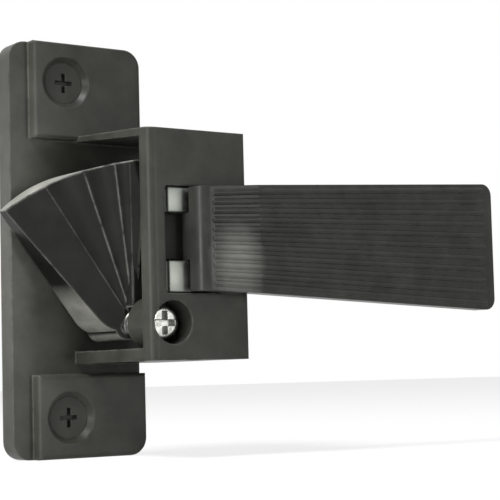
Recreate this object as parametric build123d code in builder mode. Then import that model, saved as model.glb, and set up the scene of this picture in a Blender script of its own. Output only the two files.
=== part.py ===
"""Lever latch for a pushbutton door handle: the unit that sits on the inside of the door.

Frame: millimetres, +Z up, +X towards the lever's free end, +Y into the door.
The origin is the middle of the plate's back face, which lies on the door.
"""
import os
from math import acos, atan2, cos, degrees, radians, sin, tan

from build123d import *

os.makedirs("parts", exist_ok=True)

# Clearances
running_gap = 0.06
moving_gap = 0.4
thread_gap = 0.05

# Plate and screw pads of the casting
plate_width = 19.2
plate_height = 55.2
plate_thick = 3.0
plate_corner = 2.4
plate_edge_round = 0.5
pad_inset = 2.9
pad_rise = 1.8
pad_top_edge = 14.6
pad_low_edge = -16.6

# Fixing screws that come through the pads
screw_spacing = 44.45
screw_x = -2.05
screw_thread_r = 1.9
screw_neck_r = 2.15
screw_head_r = 2.8
screw_head_sink = 0.7
screw_reach = 10.0
screw_socket_width = 0.6
screw_socket_span = 2.6
screw_socket_depth = 0.8

# Bridge of the casting, open to the left, the right and the back
case_left = -0.25
case_width = 14.9
case_front = 22.1
case_top = 14.0
case_low = -15.2
case_draft = 1.4
case_face_wall = 2.0
case_top_wall = 0.9
case_low_wall = 1.6
case_corner_round = 1.2
case_edge_round = 0.5

# Window that the lever passes through
window_left = 2.1
window_width = 8.6
window_height = 13.6
window_corner = 0.5

# Entry beside the plate, where the button's plunger comes in
entry_top = 6.0
entry_low = -9.5

# Pivot of the tongue
pivot_x = 3.1
pivot_z = -10.44
pivot_screw_r = 1.1
pivot_head_r = 2.4
pivot_head_height = 1.7
pivot_sink = 3.8
pivot_well_r = 2.75
pivot_boss_r = 3.4
pivot_boss_back = 16.5
pivot_socket_width = 0.8
pivot_socket_span = 3.0
pivot_socket_depth = 1.0

# Tongue: a sector about the pivot, with a bevelled and fluted front
tongue_reach = 21.0
tongue_tip_angle = 134
tongue_crest_angle = 97
tongue_flank_angle = 93
tongue_tip_depth = 5.0
tongue_crest_depth = 16.9
tongue_front = 17.1
tongue_apex_depth = 12.6
tongue_hub_r = 1.9
tongue_hub_front = 12.2
heel_r = 4.6
heel_z = -6.8
heel_end_angle = 273
flute_angles = (121, 110, 101.5, 97.5)
flute_lift = 0.7
finger_width = 1.7
finger_top = 0.0
finger_root = -7.6
finger_front = 16.0
arm_back = 9.4
arm_front = 11.8
arm_drop = 1.5

# Lever and its pin
pin_x = 8.0
pin_y = 18.7
pin_r = 1.1
pin_inset = 0.3
hub_r = 1.95
neck_left = 5.7
neck_width = 2.6
neck_height = 6.0
neck_z = 0.4
tail_width = 2.4
tail_length = 6.6
tail_low = -5.0
tail_top = 0.0
lever_front = 25.6
lever_thick = 2.4
lever_end = 55.0
lever_root_height = 13.2
lever_end_height = 18.0
lever_end_corner = 1.6
knuckle_drop = 0.9
knuckle_lap = 0.6
ramp_end = 14.2
bend_r = 2.0
rib_count = 11
rib_r = 0.42
rib_margin = 0.9
rib_stand = 0.12

# Return spring round the pivot screw
spring_wire = 0.7
spring_turns = 5
spring_mean_r = 1.7
spring_bite = 0.02

# Places worked out from the sizes above
case_right = case_left + case_width
pad_front = plate_thick + pad_rise
plate_left = -plate_width / 2
plate_right = plate_width / 2
plate_top = plate_height / 2
pad_left = plate_left + pad_inset
pad_width = plate_right - pad_left
window_x = window_left + window_width / 2
head_seat = case_front - pivot_sink
screw_places = [(screw_x, screw_spacing / 2), (screw_x, -screw_spacing / 2)]
pivot = (pivot_x, pivot_z)


def door_plane(depth):
    """Sketch plane parallel to the door, this far in front of it, seen from the room: x right, y up."""
    return Plane(origin=(0, -depth, 0), x_dir=(1, 0, 0), z_dir=(0, -1, 0))


def around_pivot(angle, radius):
    """Point of the door plane at an angle and a distance from the tongue's pivot."""
    return (pivot_x + radius * cos(radians(angle)), pivot_z + radius * sin(radians(angle)))


def in_space(point, depth):
    """Point in space for a point of the door plane at a depth."""
    return Vector(point[0], -depth, point[1])


# Latch case: plate, screw pads and bridge in one casting
with BuildPart() as latch_case:
    with BuildSketch(door_plane(0)):
        RectangleRounded(plate_width, plate_height, plate_corner)
    extrude(amount=plate_thick)
    with BuildSketch(door_plane(plate_thick)):
        RectangleRounded(plate_width, plate_height, plate_corner)
        with Locations((pad_left + pad_width / 2, (plate_top + pad_top_edge) / 2)):
            Rectangle(pad_width, plate_top - pad_top_edge, mode=Mode.INTERSECT)
    extrude(amount=pad_rise)
    with BuildSketch(door_plane(plate_thick)):
        RectangleRounded(plate_width, plate_height, plate_corner)
        with Locations((pad_left + pad_width / 2, (pad_low_edge - plate_top) / 2)):
            Rectangle(pad_width, pad_low_edge + plate_top, mode=Mode.INTERSECT)
    extrude(amount=pad_rise)
    pad_faces = latch_case.faces().filter_by(Axis.Y).group_by(Axis.Y)[0]
    fillet(pad_faces.edges(), plate_edge_round)
    # Bridge: its side outline is drawn along Y and Z and pulled along X
    with BuildSketch(Plane(origin=(case_right, 0, 0), x_dir=(0, -1, 0), z_dir=(-1, 0, 0))):
        with BuildLine():
            Polyline((0, case_low), (0, case_top + case_draft), (case_front, case_top), (case_front, case_low),
                     close=True)
        make_face()
    extrude(amount=case_width)
    upright_edges = latch_case.faces().sort_by(Axis.Y)[0].edges().filter_by(Axis.Z).sort_by(Axis.X)
    fillet(upright_edges[0], case_corner_round)
    upright_edges = latch_case.faces().sort_by(Axis.Y)[0].edges().filter_by(Axis.Z).sort_by(Axis.X)
    fillet(upright_edges[-1], case_edge_round)
    # Hollow of the bridge, right through from left to right, with the entry beside the plate
    with BuildSketch(Plane(origin=(case_right, 0, 0), x_dir=(0, -1, 0), z_dir=(-1, 0, 0))):
        with BuildLine():
            Polyline((plate_thick, case_low + case_low_wall), (plate_thick, case_top + case_draft - case_top_wall),
                     (case_front - case_face_wall, case_top - case_top_wall),
                     (case_front - case_face_wall, case_low + case_low_wall), close=True)
        make_face()
    extrude(amount=case_width, mode=Mode.SUBTRACT)
    with BuildSketch(door_plane(0)):
        with Locations(((plate_right + case_right) / 2, (entry_top + entry_low) / 2)):
            Rectangle(case_right - plate_right, entry_top - entry_low)
    extrude(amount=plate_thick, mode=Mode.SUBTRACT)
    # Boss, well and thread hole for the pivot screw
    with BuildSketch(door_plane(pivot_boss_back)):
        with Locations(pivot):
            Circle(pivot_boss_r)
        with Locations(((case_left + case_right) / 2, 0)):
            Rectangle(case_width, plate_height, mode=Mode.INTERSECT)
    extrude(amount=case_front - case_face_wall - pivot_boss_back)
    with BuildSketch(door_plane(head_seat)):
        with Locations(pivot):
            Circle(pivot_well_r)
    extrude(amount=pivot_sink, mode=Mode.SUBTRACT)
    with BuildSketch(door_plane(0)):
        with Locations(pivot):
            Circle(pivot_screw_r + thread_gap)
    extrude(amount=case_front, mode=Mode.SUBTRACT)
    # Window in the face
    with BuildSketch(door_plane(case_front - case_face_wall)):
        with Locations((window_x, 0)):
            RectangleRounded(window_width, window_height, window_corner)
    extrude(amount=case_face_wall, mode=Mode.SUBTRACT)
    # Cross holes for the lever's pin
    with BuildSketch(Plane.XY.offset(case_low)):
        with Locations((pin_x, -pin_y)):
            Circle(pin_r + thread_gap)
    extrude(amount=case_top + case_draft - case_low, mode=Mode.SUBTRACT)
    # Countersunk holes for the fixing screws
    with Locations(*[door_plane(pad_front) * Location((x, z, 0)) for x, z in screw_places]):
        CounterSinkHole(radius=screw_neck_r + thread_gap, counter_sink_radius=screw_head_r + screw_head_sink,
                        depth=pad_front, counter_sink_angle=90)
latch_case.part.label = "latch_case"
export_step(latch_case.part, "parts/latch_case.step")

# Tongue: hub with the finger that the lever's tail moves, then the sector, its bevel and its flutes
tip = around_pivot(tongue_tip_angle, tongue_reach)
rim_middle = around_pivot((tongue_tip_angle + tongue_flank_angle) / 2, tongue_reach)
crest_end = around_pivot(tongue_crest_angle, tongue_reach)
flank_end = around_pivot(tongue_flank_angle, tongue_reach)
tongue_back = plate_thick + moving_gap
apex = in_space(pivot, tongue_apex_depth)
tip_line = in_space(tip, tongue_tip_depth) - apex
crest_line = in_space(crest_end, tongue_crest_depth) - apex
bevel = Plane(origin=apex, x_dir=tip_line, z_dir=crest_line.cross(tip_line))


def on_bevel(angle):
    """Direction from the apex to the rim, along the bevel, at an angle about the pivot."""
    point = in_space(around_pivot(angle, tongue_reach), 0)
    depth = (point - apex).dot(bevel.z_dir) / bevel.z_dir.Y
    return (point - Vector(0, depth, 0) - apex).normalized()


# The heel is round, and the tongue's lower edge runs from the tip to touch it
tip_from_heel = Vector(tip[0] - pivot_x, tip[1] - heel_z)
touch_angle = degrees(atan2(tip_from_heel.Y, tip_from_heel.X) + acos(heel_r / tip_from_heel.length))


def on_heel(angle):
    """Point of the door plane on the round heel."""
    return (pivot_x + heel_r * cos(radians(angle)), heel_z + heel_r * sin(radians(angle)))


finger_left = pin_x + tail_width / 2 + moving_gap
finger_right = finger_left + finger_width
with BuildPart() as tongue:
    with BuildSketch(door_plane(tongue_back)):
        with Locations(pivot):
            Circle(tongue_hub_r)
    extrude(amount=tongue_hub_front - tongue_back)
    with BuildSketch(door_plane(arm_back)):
        with BuildLine():
            Polyline((pivot_x, pivot_z - arm_drop), (finger_right, finger_root), (finger_right, finger_top),
                     (finger_left, finger_top), (finger_left, finger_root + finger_width),
                     (pivot_x, pivot_z + arm_drop), close=True)
        make_face()
    extrude(amount=arm_front - arm_back)
    with BuildSketch(door_plane(arm_front)):
        with Locations(((finger_left + finger_right) / 2, (finger_top + finger_root) / 2)):
            Rectangle(finger_width, finger_top - finger_root)
    extrude(amount=finger_front - arm_front)
    # Sector with its heel, cut to the bevel
    with BuildSketch(door_plane(tongue_back)):
        with BuildLine():
            ThreePointArc(tip, rim_middle, flank_end)
            Line(flank_end, on_heel(heel_end_angle))
            ThreePointArc(on_heel(heel_end_angle), on_heel((heel_end_angle + touch_angle) / 2), on_heel(touch_angle))
            Line(on_heel(touch_angle), tip)
        make_face()
    extrude(amount=tongue_front - tongue_back)
    with BuildSketch(bevel):
        Rectangle(4 * tongue_reach, 4 * tongue_reach)
    extrude(amount=tongue_reach, mode=Mode.SUBTRACT)
    with BuildSketch(door_plane(tongue_back)):
        with Locations(pivot):
            Circle(pivot_screw_r + running_gap)
    extrude(amount=tongue_front, mode=Mode.SUBTRACT)
    # Seat of the return spring
    with BuildSketch(door_plane(tongue_hub_front)):
        with Locations(pivot):
            Circle(spring_mean_r + spring_wire / 2 + moving_gap)
    extrude(amount=tongue_front, mode=Mode.SUBTRACT)
    # Flutes that spread over the bevel from the pivot
    for start, end in zip(flute_angles, flute_angles[1:]):
        low, high = on_bevel(start), on_bevel(end)
        spread = radians(low.get_angle(high))
        axis = ((low + high).normalized() + bevel.z_dir * (spread * flute_lift)).normalized()
        opening = radians(axis.get_angle(low))
        flute_length = 2 * tongue_reach
        with Locations(Plane(origin=apex, z_dir=axis)):
            Cone(0, flute_length * tan(opening), flute_length,
                 align=(Align.CENTER, Align.CENTER, Align.MIN), mode=Mode.SUBTRACT)
tongue.part.label = "tongue"
export_step(tongue.part, "parts/tongue.step")

# Lever: ribbed grip plate with a ramp down to its knuckle, neck through the window, hub on the pin and tail
knuckle_front = lever_front - knuckle_drop
bend_x = neck_left + bend_r
bend_y = knuckle_front - bend_r
lever_back = lever_front - lever_thick
neck_right = neck_left + neck_width
rib_pitch = (lever_root_height - 2 * rib_margin) / (rib_count - 1)
rib_spread = (lever_end_height - 2 * rib_margin) / (lever_root_height - 2 * rib_margin)


def rib_height(row, x):
    """Height of a rib at a place along the lever: the ribs fan out with the grip plate's taper."""
    share = (x - bend_x) / (lever_end - bend_x)
    return (row - (rib_count - 1) / 2) * rib_pitch * (1 + (rib_spread - 1) * share)


with BuildPart() as lever:
    # Seen from above: knuckle, ramp and grip plate
    with BuildSketch(Plane.XY.offset(-lever_end_height / 2)):
        with BuildLine():
            RadiusArc((bend_x, -knuckle_front), (neck_left, -bend_y), bend_r)
            Polyline((neck_left, -bend_y), (neck_left, -bend_y + knuckle_lap), (neck_right, -bend_y + knuckle_lap),
                     (neck_right, -knuckle_front + lever_thick), (ramp_end, -lever_back), (lever_end, -lever_back),
                     (lever_end, -lever_front), (ramp_end, -lever_front), (bend_x, -knuckle_front))
        make_face()
    extrude(amount=lever_end_height)
    # Seen from the room: tapered, with the free end's corners rounded
    with BuildSketch(door_plane(0)) as grip_outline:
        with BuildLine():
            Polyline((neck_left, lever_root_height / 2), (bend_x, lever_root_height / 2),
                     (lever_end, lever_end_height / 2), (lever_end, -lever_end_height / 2),
                     (bend_x, -lever_root_height / 2), (neck_left, -lever_root_height / 2), close=True)
        make_face()
        fillet(grip_outline.vertices().group_by(Axis.X)[-1], lever_end_corner)
    extrude(amount=lever_front, mode=Mode.INTERSECT)
    # Ribs round the knuckle, up the ramp and along the grip plate
    for row in range(rib_count):
        knee = Vector(bend_x, -knuckle_front + rib_stand, rib_height(row, bend_x))
        crest = Vector(ramp_end, -lever_front + rib_stand, rib_height(row, ramp_end))
        rib_end = lever_end - lever_end_corner
        end = Vector(rib_end, -lever_front + rib_stand, rib_height(row, rib_end))
        with Locations(Location((bend_x, -bend_y, knee.Z), (0, 0, 180))):
            Torus(bend_r - rib_stand, rib_r, major_angle=90)
        for start, stop in ((knee, crest), (crest, end)):
            with Locations(Plane(origin=start, z_dir=stop - start)):
                Cylinder(rib_r, (stop - start).length, align=(Align.CENTER, Align.CENTER, Align.MIN))
    # Neck, hub and tail
    with BuildSketch(Plane.XY.offset(neck_z - neck_height / 2)):
        with Locations((neck_left + neck_width / 2, -(bend_y + pin_y) / 2)):
            Rectangle(neck_width, bend_y - pin_y)
        with Locations((pin_x, -pin_y)):
            Circle(hub_r)
    extrude(amount=neck_height)
    with BuildSketch(Plane.XY.offset(tail_low)):
        with Locations((pin_x, -pin_y)):
            Circle(hub_r)
        with Locations((pin_x, -pin_y + tail_length / 2)):
            Rectangle(tail_width, tail_length)
    extrude(amount=tail_top - tail_low)
    with BuildSketch(Plane.XY.offset(-lever_root_height)):
        with Locations((pin_x, -pin_y)):
            Circle(pin_r + running_gap)
    extrude(amount=2 * lever_root_height, mode=Mode.SUBTRACT)
lever.part.label = "lever"
export_step(lever.part, "parts/lever.step")

# Lever pin, across the bridge from top to bottom
with BuildPart() as lever_pin:
    with BuildSketch(Plane.XY.offset(case_low + pin_inset)):
        with Locations((pin_x, -pin_y)):
            Circle(pin_r)
    extrude(amount=case_top - case_low - 2 * pin_inset)
    chamfer(lever_pin.edges().filter_by(GeomType.CIRCLE), pin_inset / 2)
lever_pin.part.label = "lever_pin"
export_step(lever_pin.part, "parts/lever_pin.step")

# Pivot screw: pan head down in the well, shank through the tongue into the plate
with BuildPart() as pivot_screw:
    with BuildSketch(door_plane(0)):
        with Locations(pivot):
            Circle(pivot_screw_r)
    extrude(amount=head_seat)
    with BuildSketch(door_plane(head_seat)):
        with Locations(pivot):
            Circle(pivot_head_r)
    extrude(amount=pivot_head_height)
    fillet(pivot_screw.faces().sort_by(Axis.Y)[0].edges(), pivot_head_height / 2)
    with BuildSketch(door_plane(head_seat + pivot_head_height)):
        with Locations(pivot):
            Rectangle(pivot_socket_span, pivot_socket_width)
            Rectangle(pivot_socket_width, pivot_socket_span)
    extrude(amount=-pivot_socket_depth, mode=Mode.SUBTRACT)
pivot_screw.part.label = "pivot_screw"
export_step(pivot_screw.part, "parts/pivot_screw.step")

# Return spring: close-wound turns on the pivot screw
spring_back = tongue_hub_front + moving_gap
with BuildPart() as return_spring:
    for turn in range(spring_turns):
        turn_depth = spring_back + spring_wire * (turn + 0.5)
        with Locations(Plane(origin=in_space(pivot, turn_depth), z_dir=(0, -1, 0))):
            Torus(spring_mean_r, spring_wire / 2 + spring_bite)
return_spring.part.label = "return_spring"
export_step(return_spring.part, "parts/return_spring.step")

# Fixing screws: countersunk heads in the pads, necks through the plate, threads out of the back
screw_front = pad_front - screw_head_sink
with BuildPart() as fixing_screws:
    for place in screw_places:
        with BuildSketch(door_plane(-screw_reach)):
            with Locations(place):
                Circle(screw_thread_r)
        extrude(amount=screw_reach)
        with BuildSketch(door_plane(0)):
            with Locations(place):
                Circle(screw_neck_r)
        extrude(amount=screw_front)
        with BuildSketch(door_plane(screw_front - screw_head_r + screw_neck_r)):
            with Locations(place):
                Circle(screw_neck_r)
        with BuildSketch(door_plane(screw_front)):
            with Locations(place):
                Circle(screw_head_r)
        loft()
        with BuildSketch(door_plane(screw_front)):
            with Locations(place):
                Rectangle(screw_socket_span, screw_socket_width)
                Rectangle(screw_socket_width, screw_socket_span)
        extrude(amount=-screw_socket_depth, mode=Mode.SUBTRACT)
fixing_screws.part.label = "fixing_screws"
export_step(fixing_screws.part, "parts/fixing_screws.step")
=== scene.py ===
"""Looks of the lever latch: satin dark paint on the castings, bright steel on the inner pieces."""
from math import cos, pi, radians, sin

import bmesh
import bpy
from mathutils import Matrix, Vector


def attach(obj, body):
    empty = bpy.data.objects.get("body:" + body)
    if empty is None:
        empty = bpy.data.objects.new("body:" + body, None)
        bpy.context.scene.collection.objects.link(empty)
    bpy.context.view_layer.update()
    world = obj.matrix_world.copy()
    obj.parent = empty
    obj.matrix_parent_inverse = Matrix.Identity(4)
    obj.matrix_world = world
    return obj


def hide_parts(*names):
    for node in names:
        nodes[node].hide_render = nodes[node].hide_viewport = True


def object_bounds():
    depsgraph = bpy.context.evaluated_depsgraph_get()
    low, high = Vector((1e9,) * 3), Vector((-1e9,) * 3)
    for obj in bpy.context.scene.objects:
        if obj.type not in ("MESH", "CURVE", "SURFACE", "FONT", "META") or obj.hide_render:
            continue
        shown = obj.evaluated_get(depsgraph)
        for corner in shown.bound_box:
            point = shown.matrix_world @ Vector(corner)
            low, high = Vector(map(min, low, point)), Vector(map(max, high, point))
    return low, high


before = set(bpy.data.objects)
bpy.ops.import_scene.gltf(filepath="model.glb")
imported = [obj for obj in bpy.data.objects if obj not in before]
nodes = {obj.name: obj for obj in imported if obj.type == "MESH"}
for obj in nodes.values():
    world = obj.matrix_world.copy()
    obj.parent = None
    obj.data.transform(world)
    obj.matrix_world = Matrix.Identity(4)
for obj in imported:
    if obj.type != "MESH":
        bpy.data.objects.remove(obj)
cad_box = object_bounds()

MM = 0.001

# Camera, fitted to the photograph's frame of 500 by 500 pixels
IMAGE_SIZE = 500
FOCAL_PIXELS = 1588.86
CAMERA_AZIMUTH = -35.53
CAMERA_ELEVATION = -4.53
CAMERA_ROLL = -1.49
CAMERA_DISTANCE = 218.3 * MM
CAMERA_TARGET = Vector((22.25, -12.0, -0.15)) * MM
SENSOR_WIDTH = 36.0

# Paint and metal colours, in linear light
CASE_GREY = (0.025, 0.026, 0.021, 1)
# The tongue's paint is set darker than the case's as painted shade
TONGUE_SHADED_GREY = (0.009, 0.0094, 0.0076, 1)
LEVER_GREY = (0.022, 0.023, 0.020, 1)
SCREW_GREY = (0.025, 0.026, 0.021, 1)
# Near-black paint for painted shade on inner blocks
PAINTED_SHADE_GREY = (0.006, 0.006, 0.005, 1)
# Pale grey for paint worn thin on edges, and for the painted sheen patches
WEAR_AND_SHEEN_GREY = (0.16, 0.16, 0.145, 1)
# Pale grey painted onto up-facing faces and the tongue's heel as painted light
PAINTED_LIT_GREY = (0.40, 0.40, 0.36, 1)
STEEL = (0.50, 0.50, 0.48, 1)
STEEL_DARK = (0.26, 0.26, 0.24, 1)
SPRING_STEEL = (0.20, 0.20, 0.19, 1)
BLACK_STEEL = (0.06, 0.06, 0.055, 1)
ZINC = (0.26, 0.27, 0.245, 1)
ZINC_DULL = (0.19, 0.20, 0.18, 1)
FLOOR_WHITE = (0.93, 0.93, 0.92, 1)

# Axes of the pivot screw and the upper fixing screw, the same as in the solids
PIVOT = Vector((3.1, 0, -10.44)) * MM
SCREWS = Vector((-2.05, 0, 22.225)) * MM

# Depth below the middle over which the tongue's heel is painted paler, as painted light from below
HEEL_START = 4.8 * MM
HEEL_FULL = 7.6 * MM

# Share of white that the floor shows, and the level of the surroundings as light
FLOOR_GLOW = 0.8
SOFT_LEVEL = 0.14


class Wire:
    """A shader socket that takes Python's operators and adds the Math nodes."""

    def __init__(self, tree, socket):
        self.tree = tree
        self.socket = socket

    def node(self, kind, settings=None, output=0, **inputs):
        """Adds a node: its settings first, then the values or links of its sockets."""
        made = self.tree.nodes.new(kind)
        for name, value in (settings or {}).items():
            setattr(made, name, value)
        for name, value in inputs.items():
            key = int(name[1:]) if name[0] == "i" and name[1:].isdigit() else name.replace("_", " ")
            if isinstance(value, Wire):
                self.tree.links.new(value.socket, made.inputs[key])
            else:
                made.inputs[key].default_value = value
        return Wire(self.tree, made.outputs[output])

    def math(self, operation, first, second=0.0):
        return self.node("ShaderNodeMath", {"operation": operation}, i0=first, i1=second)

    def __add__(self, other):
        return self.math("ADD", self, other)

    def __radd__(self, other):
        return self.math("ADD", other, self)

    def __sub__(self, other):
        return self.math("SUBTRACT", self, other)

    def __rsub__(self, other):
        return self.math("SUBTRACT", other, self)

    def __mul__(self, other):
        return self.math("MULTIPLY", self, other)

    def __rmul__(self, other):
        return self.math("MULTIPLY", other, self)

    def clamped(self, low, high):
        return self.node("ShaderNodeMapRange", From_Min=low, From_Max=high, Value=self)


def new_material(name):
    """An empty material: its start wire and its shader node."""
    made = bpy.data.materials.new(name)
    made.use_nodes = True
    tree = made.node_tree
    shader = next(n for n in tree.nodes if n.type == "BSDF_PRINCIPLED")
    coordinates = tree.nodes.new("ShaderNodeTexCoord")
    return made, Wire(tree, coordinates.outputs["Object"]), shader


def feed(place, shader, **values):
    """Links or sets the shader's sockets."""
    for name, value in values.items():
        socket = shader.inputs[name.replace("_", " ")]
        if isinstance(value, Wire):
            place.tree.links.new(value.socket, socket)
        else:
            socket.default_value = value


def noise(place, scale, detail=2.0, roughness=0.5):
    return place.node("ShaderNodeTexNoise", Vector=place, Scale=scale, Detail=detail, Roughness=roughness)


def colour_mix(place, share, first, second):
    return place.node("ShaderNodeMix", {"data_type": "RGBA"}, output=2, Factor=share, i6=first, i7=second)


def edge_mask(place, radius):
    """Near 1 along convex edges and in corners, 0 on flats: how far a rounded normal leans from the true one."""
    rounded = place.node("ShaderNodeBevel", {"samples": 6}, Radius=radius)
    true_normal = place.node("ShaderNodeNewGeometry", output=1)
    lean = place.node("ShaderNodeVectorMath", {"operation": "DOT_PRODUCT"}, output=1, i0=rounded, i1=true_normal)
    return rounded, (1 - lean).clamped(0.02, 0.25)


def satin_paint(name, base, rough=0.36, peel=0.10, wear=0.55, edge=0.28 * MM, painted_light_share=0.0, sheen_patch=None):
    """Baked satin paint over a zinc casting: mottle, orange peel, soft edges with the paint thin on them.

    Where the piece faces up, and on its heel where it faces down, the paint is made paler by the given share as
    painted light from above and from below.
    A sheen patch, as its middle, its half sizes along X and Z and its share, is painted paler as a painted
    highlight.
    """
    made, place, shader = new_material(name)
    mottle = noise(place, 260, 4.0, 0.6)
    speck = noise(place, 1900, 2.0, 0.5)
    rounded, edges = edge_mask(place, edge)
    worn = edges * noise(place, 520, 3.0, 0.65).clamped(0.30, 0.62) * wear
    dull = tuple(0.72 * c for c in base[:3]) + (1,)
    pale = tuple(1.28 * c for c in base[:3]) + (1,)
    body = colour_mix(place, mottle.clamped(0.3, 0.7), dull, pale)
    # Painted light: faces turned up, and the heel turned down below the middle, made paler where lamp light and
    # floor bounce fall
    if painted_light_share:
        facing = place.node("ShaderNodeSeparateXYZ", output=2,
                            Vector=place.node("ShaderNodeTexCoord", output=1))
        height = place.node("ShaderNodeSeparateXYZ", output=2, Vector=place)
        heel = (0 - facing).clamped(0.45, 0.65) * (0 - height).clamped(HEEL_START, HEEL_FULL)
        painted_lit = (facing.clamped(0.64, 0.82) + 0.8 * heel) * (0.6 + 0.8 * (mottle - 0.5)) * painted_light_share
        body = colour_mix(place, painted_lit, body, PAINTED_LIT_GREY)
    # Painted highlight: an oval made paler where light falls, a painted sheen
    if sheen_patch:
        middle, half_x, half_z, share = sheen_patch
        moved = place.node("ShaderNodeMapping", Vector=place, Location=(-middle[0] / half_x, 0, -middle[2] / half_z),
                           Scale=(1 / half_x, 0, 1 / half_z))
        far = place.node("ShaderNodeVectorMath", {"operation": "LENGTH"}, output=1, i0=moved)
        painted_sheen = (1 - far).clamped(0.0, 0.75) * (0.65 + 0.7 * (mottle - 0.5)) * share
        body = colour_mix(place, painted_sheen, body, WEAR_AND_SHEEN_GREY)
    feed(place, shader,
         Specular_IOR_Level=0.14,
         Base_Color=colour_mix(place, worn.clamped(0, 1), body, WEAR_AND_SHEEN_GREY),
         Roughness=rough + 0.14 * (mottle - 0.5) + 0.10 * (speck - 0.5),
         Normal=place.node("ShaderNodeBump", Height=speck, Strength=peel, Distance=0.05 * MM, Normal=rounded))
    return made


def bright_steel(name, base, dark, rough=0.28, centre=None):
    """Plated steel with fine turning marks round the screw's axis, which lies along Y."""
    made, place, shader = new_material(name)
    middle = centre or Vector((0, 0, 0))
    moved = place.node("ShaderNodeMapping", Vector=place, Location=tuple(-middle))
    rings = place.node("ShaderNodeTexWave", {"wave_type": "RINGS", "rings_direction": "Y"}, output=1,
                       Vector=moved, Scale=2600, Distortion=1.5, Detail=2.0)
    stain = noise(place, 700, 3.0, 0.6).clamped(0.35, 0.7)
    rounded, edges = edge_mask(place, 0.12 * MM)
    feed(place, shader,
         Metallic=1.0,
         Base_Color=colour_mix(place, stain, dark, base),
         Roughness=rough + 0.12 * (stain - 0.5) + 0.05 * edges,
         Normal=place.node("ShaderNodeBump", Height=rings, Strength=0.12, Distance=0.02 * MM, Normal=rounded))
    return made


def paint_node(node, material):
    """Gives a carried-over solid its finish."""
    mesh = nodes[node].data
    mesh.materials.clear()
    mesh.materials.append(material)


# The case's patch paints a pool of light on the plate's left strip
case_paint = satin_paint("case_paint", CASE_GREY, edge=0.4 * MM, wear=0.7,
                         sheen_patch=(Vector((-10.0, 0, 0)) * MM, 12.0 * MM, 36.0 * MM, 0.4))
# The tongue's paint: painted light on its top and heel, and a darker base colour as painted shade
tongue_paint = satin_paint("tongue_paint", TONGUE_SHADED_GREY, rough=0.32, wear=3.0, edge=0.5 * MM, painted_light_share=1.15)
shade_paint = satin_paint("shade_paint", PAINTED_SHADE_GREY, rough=0.5, wear=0.2)
# The lever's patch paints the highlight on its face beside the knuckle
lever_paint = satin_paint("lever_paint", LEVER_GREY, rough=0.33, peel=0.06, wear=0.5, edge=0.15 * MM,
                          sheen_patch=(Vector((10.8, -25, -3.0)) * MM, 4.2 * MM, 5.6 * MM, 1.0))
screw_paint = satin_paint("screw_paint", SCREW_GREY, rough=0.42, wear=0.5, edge=0.15 * MM)
pivot_steel = bright_steel("pivot_steel", STEEL, STEEL_DARK, centre=PIVOT)
spring_wire = bright_steel("spring_wire", SPRING_STEEL, BLACK_STEEL, rough=0.36, centre=PIVOT)
pin_steel = bright_steel("pin_steel", BLACK_STEEL, BLACK_STEEL, rough=0.4)
strap_zinc = bright_steel("strap_zinc", ZINC, ZINC_DULL, rough=0.45)
paint_node("latch_case", case_paint)
paint_node("lever", lever_paint)
paint_node("fixing_screws", screw_paint)
paint_node("pivot_screw", pivot_steel)
paint_node("lever_pin", pin_steel)


def piece_from(name, mesh, material, body):
    """A finished piece from a mesh: smooth but for its true edges, on its body."""
    mesh.materials.clear()
    mesh.materials.append(material)
    mesh.shade_smooth()
    mesh.set_sharp_from_angle(angle=radians(16))
    piece = bpy.data.objects.new(name, mesh)
    bpy.context.scene.collection.objects.link(piece)
    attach(piece, body)
    return piece


def dress_tongue():
    """The tongue with its top edge ground straight: one plane from the tip to the crest, out to the back rim."""
    reach, tip_angle, crest_angle, back_angle = 21.0, 134, 97, 114

    def rim(angle, depth):
        return PIVOT + Vector((reach * cos(radians(angle)), -depth, reach * sin(radians(angle)))) * MM

    tip, crest, back = rim(tip_angle, 5.0), rim(crest_angle, 16.9), rim(back_angle, 3.4)
    body = bmesh.new()
    body.from_mesh(nodes["tongue"].data)
    bmesh.ops.remove_doubles(body, verts=body.verts, dist=0.004 * MM)
    whole = body.verts[:] + body.edges[:] + body.faces[:]
    bmesh.ops.bisect_plane(body, geom=whole, plane_co=tip, plane_no=(crest - tip).cross(back - tip),
                           clear_outer=True, dist=0.002 * MM)
    bmesh.ops.holes_fill(body, edges=[e for e in body.edges if e.is_boundary], sides=0)
    bmesh.ops.triangulate(body, faces=body.faces[:])
    bmesh.ops.recalc_face_normals(body, faces=body.faces[:])
    mesh = bpy.data.meshes.new("tongue_ground")
    body.to_mesh(mesh)
    body.free()
    piece = piece_from("tongue_ground", mesh, tongue_paint, "tongue")
    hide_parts("tongue")


def add_block(name, low, high, material, body, round_edge=0.25):
    """Small cast block between two corners, given in millimetres, with its edges rounded."""
    middle = [(a + b) / 2 for a, b in zip(low, high)]
    size = [b - a for a, b in zip(low, high)]
    block = bmesh.new()
    bmesh.ops.create_cube(block, size=1.0)
    bmesh.ops.scale(block, vec=[v * MM for v in size], verts=block.verts)
    bmesh.ops.translate(block, vec=[v * MM for v in middle], verts=block.verts)
    bmesh.ops.bevel(block, geom=block.edges[:], offset=round_edge * MM, segments=3, profile=0.5, affect="EDGES")
    mesh = bpy.data.meshes.new(name)
    block.to_mesh(mesh)
    block.free()
    piece_from(name, mesh, material, body)


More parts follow.
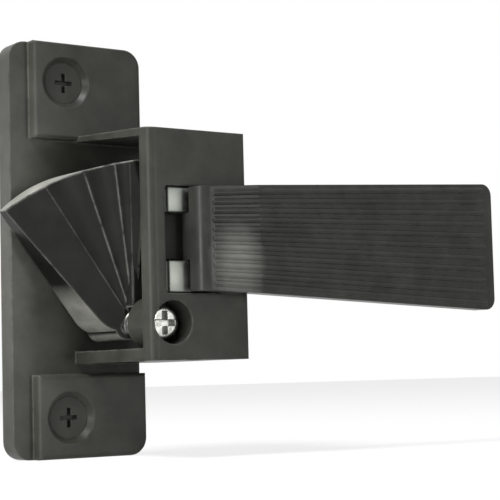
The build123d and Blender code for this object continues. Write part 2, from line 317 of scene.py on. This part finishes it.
def coil_tree():
    """Geometry nodes for a coil of round wire, copied to a pair of places or kept single."""
    tree = bpy.data.node_groups.new("coil", "GeometryNodeTree")
    face = tree.interface
    face.new_socket("Geometry", in_out="INPUT", socket_type="NodeSocketGeometry")
    for name, kind in (("Turns", "Float"), ("Radius", "Float"), ("Length", "Float"), ("Wire", "Float"),
                       ("Tilt", "Vector"), ("Place", "Vector"), ("Spread", "Vector"), ("Copies", "Int"),
                       ("Finish", "Material")):
        face.new_socket(name, in_out="INPUT", socket_type="NodeSocket" + kind)
    face.new_socket("Geometry", in_out="OUTPUT", socket_type="NodeSocketGeometry")
    put = tree.nodes.new
    link = tree.links.new
    given, made = put("NodeGroupInput"), put("NodeGroupOutput")
    spiral, profile = put("GeometryNodeCurveSpiral"), put("GeometryNodeCurvePrimitiveCircle")
    spiral.inputs["Resolution"].default_value = 28
    profile.inputs["Resolution"].default_value = 10
    for socket, name in (("Rotations", "Turns"), ("Start Radius", "Radius"), ("End Radius", "Radius"),
                         ("Height", "Length")):
        link(given.outputs[name], spiral.inputs[socket])
    link(given.outputs["Wire"], profile.inputs["Radius"])
    wire, line = put("GeometryNodeCurveToMesh"), put("GeometryNodeMeshLine")
    wire.inputs["Fill Caps"].default_value = True
    link(spiral.outputs[0], wire.inputs["Curve"])
    link(profile.outputs[0], wire.inputs["Profile Curve"])
    link(given.outputs["Copies"], line.inputs["Count"])
    link(given.outputs["Place"], line.inputs["Start Location"])
    link(given.outputs["Spread"], line.inputs["Offset"])
    copies, real = put("GeometryNodeInstanceOnPoints"), put("GeometryNodeRealizeInstances")
    finish = put("GeometryNodeSetMaterial")
    link(line.outputs[0], copies.inputs["Points"])
    link(wire.outputs[0], copies.inputs["Instance"])
    link(given.outputs["Tilt"], copies.inputs["Rotation"])
    link(copies.outputs[0], real.inputs[0])
    link(real.outputs[0], finish.inputs["Geometry"])
    link(given.outputs["Finish"], finish.inputs["Material"])
    link(finish.outputs[0], made.inputs[0])
    return tree


def grow(tree, name, values, body):
    """Runs a node tree with these inputs and keeps the mesh as a finished piece."""
    holder = bpy.data.objects.new(name + "_seed", bpy.data.meshes.new(name + "_seed"))
    bpy.context.scene.collection.objects.link(holder)
    change = holder.modifiers.new(name, "NODES")
    change.node_group = tree
    for item in tree.interface.items_tree:
        if item.in_out == "INPUT" and item.name in values:
            change[item.identifier] = values[item.name]
    holder.update_tag()
    ready = holder.evaluated_get(bpy.context.evaluated_depsgraph_get())
    mesh = bpy.data.meshes.new_from_object(ready)
    holder.modifiers.remove(change)
    bpy.data.objects.remove(holder)
    return piece_from(name, mesh, values["Finish"], body)


dress_tongue()
add_block("upper_strap", (3.0, -21.4, 3.45), (6.6, -19.4, 6.72), strap_zinc, "lever")
add_block("lower_strap", (3.0, -21.4, -6.72), (6.6, -19.4, -2.65), strap_zinc, "lever")
# Neck web painted near-black as painted shade; the block under the lever's hub is a dark filler where there is only
# shade
add_block("neck_web", (2.95, -20.5, -2.6), (6.0, -19.2, 3.4), shade_paint, "lever")
add_block("shade_filler_block", (6.4, -21.3, -6.72), (10.2, -20.0, -6.0), shade_paint, "lever")
add_block("tongue_web", (2.0, -14.2, -8.1), (4.3, -11.0, 0.6), tongue_paint, "tongue")
coil = coil_tree()
spring = grow(coil, "return_spring_coil", {
    "Turns": 4.75, "Radius": 1.7 * MM, "Length": 2.8 * MM, "Wire": 0.33 * MM, "Tilt": (pi / 2, 0, 0),
    "Place": PIVOT + Vector((0, -12.95 * MM, 0)), "Spread": (0.0, 0.0, 0.0), "Copies": 1, "Finish": spring_wire},
    "case")
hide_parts("return_spring")
grow(coil, "screw_threads", {
    "Turns": 11.0, "Radius": 1.84 * MM, "Length": 8.8 * MM, "Wire": 0.2 * MM, "Tilt": (-pi / 2, 0, 0),
    "Place": SCREWS + Vector((0, 0.7 * MM, 0)), "Spread": (0.0, 0.0, -2 * SCREWS.z), "Copies": 2,
    "Finish": screw_paint}, "case")


def shown_white(tree):
    """1 for what the camera, reflections and glass see, 0 for light on the object."""
    path = tree.nodes.new("ShaderNodeLightPath")
    seen = Wire(tree, path.outputs["Is Camera Ray"]) + Wire(tree, path.outputs["Is Glossy Ray"])
    return (seen + Wire(tree, path.outputs["Is Transmission Ray"])).clamped(0, 1)


def white_stage(name, strength):
    """Pale ground that shows white to the camera and in reflections, and keeps the soft shadow."""
    made, place, shader = new_material(name)
    feed(place, shader, Base_Color=FLOOR_WHITE, Roughness=0.9)
    tree = place.tree
    glow = tree.nodes.new("ShaderNodeEmission")
    glow.inputs["Color"].default_value = (1, 1, 1, 1)
    glow.inputs["Strength"].default_value = 1.0
    share = shown_white(tree) * strength
    mixed = tree.nodes.new("ShaderNodeMixShader")
    output = next(n for n in tree.nodes if n.type == "OUTPUT_MATERIAL")
    tree.links.new(share.socket, mixed.inputs[0])
    tree.links.new(shader.outputs[0], mixed.inputs[1])
    tree.links.new(glow.outputs[0], mixed.inputs[2])
    tree.links.new(mixed.outputs[0], output.inputs["Surface"])
    return made


def lay_floor():
    """Flat pale floor under the latch."""
    reach = 1.5
    level = cad_box[0][2] - 0.02 * MM
    mesh = bpy.data.meshes.new("floor")
    corners = [(-reach, -reach, level), (reach, -reach, level), (reach, reach, level), (-reach, reach, level)]
    mesh.from_pydata(corners, [], [(0, 1, 2, 3)])
    floor = bpy.data.objects.new("floor", mesh)
    mesh.materials.append(white_stage("floor_white", FLOOR_GLOW))
    bpy.context.scene.collection.objects.link(floor)


def light_world():
    """Even white surroundings: white to the camera and in reflections, a plain soft level as light."""
    world = bpy.data.worlds.new("studio")
    bpy.context.scene.world = world
    world.use_nodes = True
    tree = world.node_tree
    back = next(n for n in tree.nodes if n.type == "BACKGROUND")
    back.inputs["Color"].default_value = (1, 1, 1, 1)
    level = shown_white(tree) * (1 - SOFT_LEVEL) + SOFT_LEVEL
    tree.links.new(level.socket, back.inputs["Strength"])


def add_lamp(name, place, target, size, watts):
    """Soft square lamp aimed at a point."""
    data = bpy.data.lights.new(name, "AREA")
    data.size = size
    data.energy = watts
    lamp = bpy.data.objects.new(name, data)
    lamp.location = place
    lamp.rotation_euler = (Vector(target) - Vector(place)).to_track_quat("-Z", "Y").to_euler()
    bpy.context.scene.collection.objects.link(lamp)


def set_camera():
    """Camera at the photograph's angle, with its slight roll."""
    azimuth, elevation, roll = (radians(v) for v in (CAMERA_AZIMUTH, CAMERA_ELEVATION, CAMERA_ROLL))
    back = Vector((sin(azimuth) * cos(elevation), -cos(azimuth) * cos(elevation), sin(elevation)))
    right = (-back).cross(Vector((0, 0, 1))).normalized()
    up = right.cross(-back)
    right, up = right * cos(roll) + up * sin(roll), up * cos(roll) - right * sin(roll)
    eye = CAMERA_TARGET + back * CAMERA_DISTANCE
    data = bpy.data.cameras.new("camera")
    data.sensor_width = SENSOR_WIDTH
    data.sensor_fit = "HORIZONTAL"
    data.lens = FOCAL_PIXELS * SENSOR_WIDTH / IMAGE_SIZE
    data.clip_start = 0.01
    camera = bpy.data.objects.new("camera", data)
    camera.matrix_world = Matrix((
        (right.x, up.x, back.x, eye.x),
        (right.y, up.y, back.y, eye.y),
        (right.z, up.z, back.z, eye.z),
        (0, 0, 0, 1)))
    bpy.context.scene.collection.objects.link(camera)
    bpy.context.scene.camera = camera


lay_floor()
light_world()
add_lamp("top_panel", (-0.30, -0.10, 0.46), (0.0, -0.012, 0), 0.20, 5.0)
add_lamp("right_panel", (0.36, -0.50, 0.16), (0.015, -0.012, 0), 0.34, 0.20)
add_lamp("left_panel", (-0.52, -0.22, 0.04), (0.0, -0.012, 0), 0.10, 1.3)
add_lamp("ramp_panel", (0.17, -0.48, 0.03), (0.012, -0.025, 0), 0.07, 0.40)
set_camera()
bpy.context.scene.view_settings.view_transform = "Standard"
